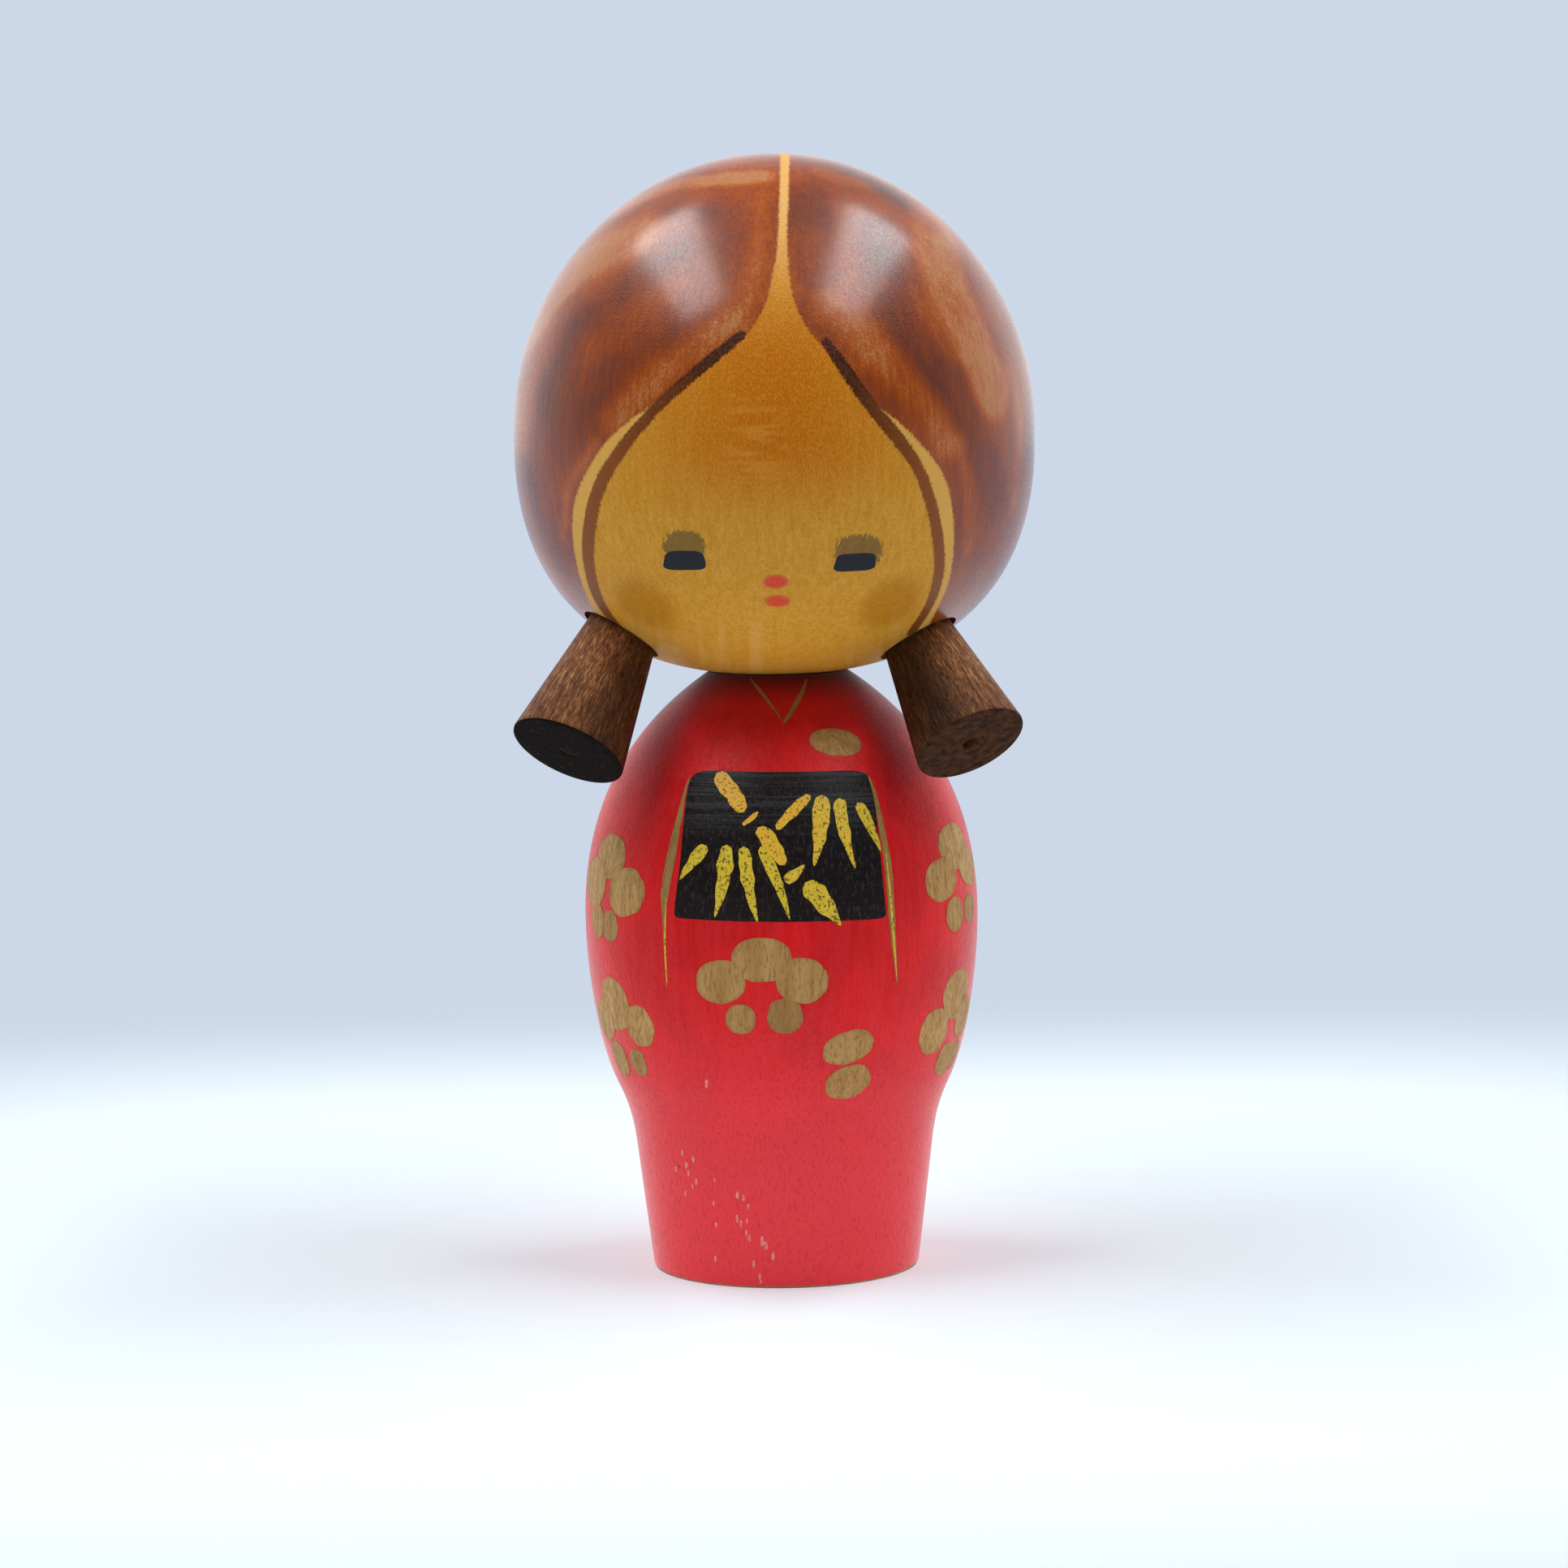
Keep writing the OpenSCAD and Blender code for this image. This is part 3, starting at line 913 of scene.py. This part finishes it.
# A flat brush dab: a filled disc inset ring by ring. The shape is a dictionary with the place,
# the half sizes, a tilt in degrees, and how square and how tapered it is.
def makeDab(line, shape):
    bpy.ops.object.select_all(action="DESELECT")
    rings = shape.get("rings", 4)
    bpy.ops.mesh.primitive_circle_add(vertices=shape.get("around", 40), radius=1, fill_type="NGON")
    piece = bpy.context.object
    bpy.ops.object.mode_set(mode="EDIT")
    for i in range(rings):
        bpy.ops.mesh.inset(thickness=1 / (rings + 1))
    bpy.ops.mesh.poke()
    bpy.ops.object.mode_set(mode="OBJECT")
    flat = readPlaces(piece) * mm
    rho = np.hypot(flat[:, 0], flat[:, 1])
    angle = np.arctan2(flat[:, 1], flat[:, 0])
    half = np.array(shape["half"], float)
    fine = np.linspace(0, fullTurn, 4001)
    squareHigh = shape.get("square", 2)
    square = 2 / np.where(fine < math.pi, squareHigh, shape.get("squareLow", squareHigh))
    outX = np.sign(np.cos(fine)) * np.abs(np.cos(fine)) ** square
    outZ = np.sign(np.sin(fine)) * np.abs(np.sin(fine)) ** square
    run = np.r_[0, np.cumsum(np.hypot(np.diff(outX), np.diff(outZ)))]
    share = np.mod(angle, fullTurn) / fullTurn * run[-1]
    side = np.interp(share, run, outX)
    rise = np.interp(share, run, outZ)
    seed = shape.get("seed", 0)
    wobble = np.array([noise.noise(Vector((2.1 * math.cos(a), 2.1 * math.sin(a), 7.3 * seed + 1)))
                       + 0.4 * noise.noise(Vector((7 * math.cos(a), 7 * math.sin(a), 3.1 * seed)))
                       for a in angle])
    rho = rho * (1 + shape.get("wobble", 0.08) * wobble)
    x = rho * side * half[0] * (1 - shape.get("taper", 0) * (rho * rise + 1) / 2)
    z = rho * rise * half[1]
    x = x + shape.get("skew", 0) * z
    tilt = math.radians(shape.get("tilt", 0))
    across = shape["place"][0] + x * math.cos(tilt) - z * math.sin(tilt)
    up = shape["place"][1] + x * math.sin(tilt) + z * math.cos(tilt)
    movePlaces(piece, wrapOn(line, shape.get("facing", 0), across, up, shape["lift"]))
    storeValue(piece, "edge", np.clip(1 - rho, 0, 1) * half.min())
    storeValue(piece, "tone", np.full(len(rho), shape.get("tone", 0.5)))
    return piece


# A brush stroke along a path of (across, up, half width) points: a strip of grid.
def makeStroke(line, shape):
    bpy.ops.object.select_all(action="DESELECT")
    path = smoothPath(shape["path"], 0.35)
    count = len(path)
    bpy.ops.mesh.primitive_grid_add(x_subdivisions=count - 1, y_subdivisions=4, size=2)
    piece = bpy.context.object
    flat = readPlaces(piece) * mm
    run = (flat[:, 0] + 1) / 2
    spread = np.linspace(0, 1, count)
    ways = np.gradient(path[:, :2], axis=0)
    ways /= np.linalg.norm(ways, axis=1)[:, None]
    middle = np.stack([np.interp(run, spread, path[:, i]) for i in (0, 1)], 1)
    way = np.stack([np.interp(run, spread, ways[:, i]) for i in (0, 1)], 1)
    half = np.interp(run, spread, path[:, 2])
    length = np.linalg.norm(np.diff(path[:, :2], axis=0), axis=1).sum()
    seed = shape.get("seed", 0)
    rough = np.array([noise.noise(Vector((length * r * 0.8, 3 * np.sign(f), 5.7 * seed)))
                      for r, f in zip(run, flat[:, 1])])
    blunt = np.minimum(run, 1 - run) * length / np.maximum(half, 0.05)
    half = half * np.sqrt(np.clip(1 - (1 - np.clip(blunt, 0, 1)) ** 2, 0, 1))
    half = half * (1 + shape["wobble"] * rough)
    across = middle[:, 0] - way[:, 1] * flat[:, 1] * half
    up = middle[:, 1] + way[:, 0] * flat[:, 1] * half
    movePlaces(piece, wrapOn(line, shape.get("facing", 0), across, up, shape["lift"]))
    storeValue(piece, "edge", (1 - np.abs(flat[:, 1])) * half)
    storeValue(piece, "tone", np.full(len(run), shape["tone"]))
    return piece


# Thin paint that stands a hair's breadth proud of the wood, its edges let into it.
def paintOn(name, line, shapes, body, material, thickness=0.16):
    parts = [makeStroke(line, shape) if "path" in shape else makeDab(line, shape)
             for shape in shapes]
    bpy.ops.object.select_all(action="DESELECT")
    for part in parts:
        part.select_set(True)
    bpy.context.view_layer.objects.active = parts[0]
    if len(parts) > 1:
        bpy.ops.object.join()
    piece = parts[0]
    piece.name = name
    only(piece)
    bpy.ops.object.mode_set(mode="EDIT")
    bpy.ops.mesh.select_all(action="SELECT")
    bpy.ops.mesh.remove_doubles(threshold=0.003 * mm)
    bpy.ops.mesh.normals_make_consistent(inside=False)
    bpy.ops.object.mode_set(mode="OBJECT")
    # an open sheet can come out turned inwards, so it is checked against the axis
    away = 0.0
    for face in piece.data.polygons:
        away += face.area * face.normal.dot(Vector((face.center.x, face.center.y, 0)))
    if away < 0:
        bpy.ops.object.mode_set(mode="EDIT")
        bpy.ops.mesh.flip_normals()
        bpy.ops.object.mode_set(mode="OBJECT")
    skin = piece.modifiers.new("skin", "SOLIDIFY")
    skin.thickness = thickness * mm
    skin.offset = -1
    bpy.ops.object.modifier_apply(modifier=skin.name)
    smoothUp(piece, 40)
    piece.data.materials.clear()
    piece.data.materials.append(material)
    finishPiece(piece, body)


faceValues = {
    "lift": 0.03,
    "leftEye": {"place": (-11.75, 97.55), "half": (2.95, 1.25), "square": 4.2, "taper": 0.2,
                "wobble": 0.03, "seed": 1, "around": 48},
    "rightEye": {"place": (10.1, 97.0), "half": (2.75, 1.15), "square": 4.5, "taper": 0.08,
                 "skew": 0.16, "wobble": 0.03, "seed": 2, "around": 48, "tilt": 1},
    "lips": [{"place": (-0.1, 94.7), "half": (1.65, 0.95), "seed": 3},
             {"place": (0.1, 92.1), "half": (1.7, 0.8), "seed": 4}],
}


def eyeInk():
    material, tree, shader = startMaterial("eyeInk", IOR=1.32)
    grain = addGrain(tree, objectPlace(tree), 0.25, 0.5)
    colour = mixColour(tree, grain["Specks"], tint(14, 20, 30), tint(24, 30, 40))
    gloss = fade(tree, grain["Specks"], 0.0, 1.0, 0.4, 0.55)
    finishShader(tree, shader, colour, gloss, grain["Specks"], 0.012 * mm)
    return material


def lipPaint():
    material, tree, shader = startMaterial("lipPaint", IOR=1.33)
    grain = addGrain(tree, objectPlace(tree), 0.3, 0.7)
    colour = mixMasked(tree, grain["Specks"], 0.5, tint(222, 58, 34), tint(224, 92, 44))
    colour = coverColour(tree, colour, [(readValue(tree, "edge"), 0.35, 0.0, 0.75,
                                         tint(210, 118, 44))])
    gloss = fade(tree, grain["Specks"], 0.0, 1.0, 0.42, 0.55)
    finishShader(tree, shader, colour, gloss, grain["Specks"], 0.012 * mm)
    return material


def paintFace():
    v = faceValues
    lift = {"lift": v["lift"]}
    ink = eyeInk()
    for side in ("leftEye", "rightEye"):
        paintOn(side, headLine, [{**v[side], **lift}], "head", ink)
    paintOn("lips", headLine, [{**shape, **lift} for shape in v["lips"]], "head",
            lipPaint())
    print("face painted")


kimonoValues = {
    "lift": 0.04,
    "layer": 0.012,             # each further coat stands this much higher
    "panel": {"place": (0.0, 59.7), "half": (13.9, 9.5), "square": 10, "squareLow": 40,
              "taper": 0.14, "wobble": 0.008, "rings": 13, "around": 160, "tilt": -0.9},
    "stems": 4,                 # the first ones below are stems, the rest leaves
    "bambooSteps": (0, 0.12, 0.35, 0.7, 1),
    "stemShape": (0.6, 0.85, 1.0, 0.92, 0.55),      # share of the width at each step
    "leafShape": (0.7, 0.95, 1.0, 0.62, 0.1),
    "bambooBow": 0.03,
    # start, end and width of each bamboo stem and leaf, and how orange it is from 0 to 1
    "bamboo": [((-8.2, 69.0), (-4.7, 64.2), 2.3, 0.9), ((-4.9, 62.6), (-2.8, 64.3), 0.65, 0.9),
               ((-2.9, 62.3), (0.5, 57.5), 1.95, 0.7), ((4.0, 66.2), (-0.5, 62.0), 1.35, 0.8),
               ((5.5, 66.2), (4.3, 57.2), 2.2, 0.5), ((7.7, 65.7), (9.7, 56.7), 1.6, 0.4),
               ((10.1, 65.0), (13.1, 58.6), 1.3, 0.2), ((-9.6, 59.9), (-13.2, 55.4), 1.5, 0.2),
               ((-7, 60.1), (-8.7, 50.7), 1.9, 0.2), ((-4.8, 59.9), (-3.1, 50.1), 1.7, 0.25),
               ((-2.6, 59.9), (1.1, 50.4), 1.5, 0.2), ((0.5, 55.4), (3.1, 57.5), 1.45, 0.4),
               ((3.1, 55.2), (7.7, 49.4), 2.6, 0.2)],
    "sides": [[(-11.7, 68.6, 0.06), (-12.5, 66.1, 0.2), (-14.2, 58.8, 0.55), (-15.2, 53.6, 0.5),
               (-15.4, 49.4, 0.16), (-15.2, 40.9, 0.05)],
              [(11.6, 68.4, 0.06), (12.6, 65.2, 0.25), (13.9, 57.6, 0.45), (14.3, 52.2, 0.45),
               (14.6, 46.6, 0.3), (15.0, 41.2, 0.06)]],
    "collar": [[(-3.7, 80.6, 0.06), (-2.5, 79.2, 0.2), (-0.9, 77.3, 0.17), (0.4, 75.6, 0.07)],
               [(3.9, 80.5, 0.12), (2.9, 78.4, 0.3), (1.5, 76.3, 0.27), (0.4, 74.9, 0.08)]],
    # finer yellow lines down the gold side lines
    "glints": [[(-15.05, 53, 0.04), (-15.3, 47, 0.11), (-15.15, 41.5, 0.04)],
               [(13.75, 58.5, 0.05), (14.3, 52, 0.15), (14.65, 46.5, 0.13), (14.95, 42, 0.04)]],
    "dabTones": (0, 0.05, 0, 0.3, 0.7),         # how dark each dab of a blossom is
    "frontTone": 0.45,                          # and how much darker those in front
    # gold dabs: angle round the body, height, half width and half height, tilt
    "blossoms": {
        "goldFront": [(-5.8, 45.2, 3.9, 3.0, 0), (-18, 42.2, 3.4, 2.9, 10),
                      (5.6, 42.4, 3.4, 3.0, -8), (-12.5, 37.3, 2.0, 2.0, 0),
                      (0.6, 37.7, 2.3, 2.4, 0)],
        "goldPair": [(20, 33.1, 3.6, 2.2, 14), (21, 28.3, 3.2, 2.3, 14)],
        "goldChest": [(24, 72.6, 3.6, 1.7, -4)],
        "goldLeftUpper": [(-62.2, 57.4, 4, 2.9, 0), (-51.5, 53.1, 3.8, 3.2, 10),
                          (-71.5, 53.6, 4.2, 3.2, -10), (-67.4, 48.6, 2.2, 2.3, 0),
                          (-59.1, 48.3, 2.0, 2.1, 0)],
        "goldLeftLower": [(-60.8, 37.7, 3.8, 3.6, 0), (-48.6, 35.3, 2.8, 2.8, 0),
                          (-70.4, 35, 3.3, 2.7, 0), (-64.4, 30, 2.2, 2.4, 0),
                          (-52.9, 30.1, 1.8, 1.9, 0)],
        "goldRightUpper": [(65.5, 57.9, 4.5, 3.0, 0), (54.4, 54.0, 3.7, 2.8, 8),
                           (73.8, 54.9, 3.8, 2.7, -8), (60.1, 49.1, 2.3, 2.3, 0),
                           (71.3, 49.3, 2.2, 2.0, 0)],
        "goldRightLower": [(64.5, 38.1, 4, 3.4, 0), (53.2, 33.7, 3.2, 3.1, 0),
                           (73, 34.5, 3.2, 2.8, 0), (63.6, 29.3, 2.4, 2.3, 0),
                           (72, 29.4, 2.0, 2.0, 0)],
    },
    # the same blossom again round the back: angle and height of its middle
    "backBlossoms": {"goldBackLeft": (-118, 46), "goldBackLow": (-157, 33),
                     "goldBackUpper": (176, 56), "goldBackRight": (119, 45),
                     "goldBackFoot": (146, 31)},
    # worn spots of the paint near the foot: x, height and size
    "worn": [(-10.2, 28.2, 0.35), (-13.7, 17.9, 0.25), (-13.2, 16.2, 0.3), (-12.9, 15.2, 0.28),
             (-14.6, 15.4, 0.22), (-13.4, 12.2, 0.25), (-6.4, 12.7, 0.35), (-5.6, 12.4, 0.3),
             (-6.5, 9.5, 0.3), (-6.0, 8.8, 0.3), (-9.3, 8.4, 0.22), (-3.2, 6.4, 0.4),
             (-2.7, 5.9, 0.35), (-9.5, 3.7, 0.25), (-4.4, 3.3, 0.3), (-5.2, 9.2, 0.2),
             (-12.2, 17.2, 0.3), (-11.9, 14.1, 0.28), (-12.4, 13.4, 0.2), (-5.0, 11.2, 0.28),
             (-5.3, 7.6, 0.25), (-4.9, 6.9, 0.3), (-1.8, 4.4, 0.35), (-3.6, 1.6, 0.3),
             (-3.5, 0.9, 0.22), (-9.6, 11.4, 0.2), (-9.4, 14.6, 0.18)],
    "wornLift": 0.012,
    "wornShape": (0.6, 1.7),    # half width and half height of a spot of size 1
}


def goldPaint():
    material, tree, shader = startMaterial("goldPaint", Metallic=0.15, IOR=1.36)
    grain = addGrain(tree, objectPlace(tree), 0.3, 1.3)
    colour = mixColour(tree, grain["Streaks"], tint(206, 162, 96), tint(180, 134, 70))
    colour = coverColour(tree, colour, [
        (grain["Specks"], 0.5, 1.0, 0.5, tint(124, 88, 40)),
        (readValue(tree, "edge"), 0.5, 0.05, 0.15, tint(140, 98, 46))])
    colour = mixMasked(tree, readValue(tree, "tone"), 0.5, colour, tint(140, 100, 48))
    gloss = fade(tree, grain["Specks"], 0.0, 1.0, 0.45, 0.6)
    finishShader(tree, shader, colour, gloss, grain["Specks"], 0.02 * mm)
    return material


def blackPaint():
    material, tree, shader = startMaterial("blackPaint", IOR=1.3)
    place = objectPlace(tree)
    grain = addGrain(tree, place, 0.28, 1.0)
    colour = mixColour(tree, grain["Clouds"], tint(13, 7, 8), tint(24, 10, 7))
    colour = coverColour(tree, colour, [(grain["Specks"], 0.7, 1.0, 0.3, tint(86, 70, 60))])
    up = partOf(tree, place, "Z")
    # painted bluish sheen on the lathe ridges across the upper part of the panel
    ridgeSheen = times(tree, fade(tree, grain["Rings"], 0.5, 0.9),
                   fade(tree, up, 0.059, 0.066))
    colour = mixMasked(tree, ridgeSheen, 0.4, colour, tint(66, 68, 74))
    gloss = fade(tree, grain["Specks"], 0.0, 1.0, 0.36, 0.5)
    height = plus(tree, grain["Specks"], times(tree, grain["Rings"], 1.4))
    finishShader(tree, shader, colour, gloss, height, 0.02 * mm)
    return material


def yellowPaint():
    material, tree, shader = startMaterial("yellowPaint")
    tone = readValue(tree, "tone")
    colour = mixColour(tree, tone, tint(218, 192, 34), tint(240, 176, 40))
    dots = noiseValue(tree, objectPlace(tree), (3300.0, 3300.0, 2600.0), 1.0)
    thin = fade(tree, plus(tree, dots, times(tree, tone, 0.06)), 0.46, 0.36)
    colour = mixMasked(tree, thin, 0.85, colour, tint(60, 44, 14))
    colour = coverColour(tree, colour, [(dots, 0.58, 0.7, 0.5, tint(238, 214, 84))])
    gloss = fade(tree, dots, 0.3, 0.7, 0.6, 0.42)
    finishShader(tree, shader, colour, gloss, dots, 0.03 * mm)
    return material


def paintKimono():
    v = kimonoValues
    lift, layer = v["lift"], v["layer"]
    gold = goldPaint()
    paintOn("obiPanel", bodyLine, [{**v["panel"], "lift": lift}], "torso",
            blackPaint())
    leaves = []
    for i, (start, end, width, tone) in enumerate(v["bamboo"]):
        a = np.array(start)
        b = np.array(end)
        bow = np.array((-(b - a)[1], (b - a)[0])) * v["bambooBow"] * (-1 if i % 2 else 1)
        path = []
        shares = v["stemShape"] if i < v["stems"] else v["leafShape"]
        for t, share in zip(v["bambooSteps"], shares):
            point = a + (b - a) * t + bow * math.sin(math.pi * t)
            path.append((point[0], point[1], width * share / 2))
        leaves.append({"path": path, "lift": lift + layer * (2 + i % 2), "seed": i, "wobble": 0.3,
                       "tone": tone})
    yellow = yellowPaint()
    paintOn("bamboo", bodyLine, leaves, "torso", yellow)
    for name, rows, coat, seed, wobble, tone, slot, paint in (
            ("goldSideLines", v["sides"], 1, 20, 0.2, 0.9, "gold_paint", gold),
            ("sideGlints", v["glints"], 3, 24, 0.15, 0.8, "yellow_paint", yellow),
            ("goldCollar", v["collar"], 0, 30, 0.2, 1, "gold_paint", gold)):
        lines = [{"path": path, "lift": lift + coat * layer, "seed": seed + i, "wobble": wobble,
                  "tone": tone} for i, path in enumerate(rows)]
        paintOn(name, bodyLine, lines, "torso", paint)
    dabs = dict(v["blossoms"])
    for name, (angle, z) in v["backBlossoms"].items():
        dabs[name] = [(angle, z + 4, 3.9, 3.0, 0), (angle - 12, z, 3.5, 2.9, 10),
                      (angle + 12, z + 0.2, 3.5, 2.9, -10), (angle - 4.5, z - 5, 2.1, 2.1, 0),
                      (angle + 5, z - 4.8, 2.1, 2.1, 0)]
    for name, rows in dabs.items():
        shapes = []
        for i, (angle, z, wide, high, tilt) in enumerate(rows):
            shapes.append({"place": (0, z), "facing": angle, "half": (wide, high), "tilt": tilt,
                           "wobble": 0.055, "seed": len(name) * 5 + i + angle / 50, "rings": 5,
                           "around": 48, "lift": lift + layer * (i % 4), "square": 2.15,
                           "tone": v["dabTones"][i] + (v["frontTone"] if abs(angle) < 40 else 0)})
        paintOn(name, bodyLine, shapes, "torso", gold)
    material, tree, shader = startMaterial("wornPaint", Roughness=0.6)
    grain = addGrain(tree, objectPlace(tree), 0.2, 0.4)
    tree.links.new(mixColour(tree, grain["Specks"], tint(238, 160, 148), tint(232, 104, 102)),
                   shader.inputs["Base Color"])
    wide, high = v["wornShape"]
    shapes = [{"place": (x, z), "half": (size * wide, size * high), "lift": v["wornLift"],
               "rings": 1, "around": 14, "wobble": 0.45, "seed": i}
              for i, (x, z, size) in enumerate(v["worn"])]
    paintOn("wornSpots", bodyLine, shapes, "torso", material, 0.1)
    print("kimono painted")


makeCamera()
makeStudio()
makeBody()
makeHead()
for side in ("left", "right"):
    makeTail(side)
    makePeg(side)
dowel = bpy.data.objects["neck_dowel"]
dowel.data.materials.clear()
dowel.data.materials.append(bareWood())
paintFace()
paintKimono()
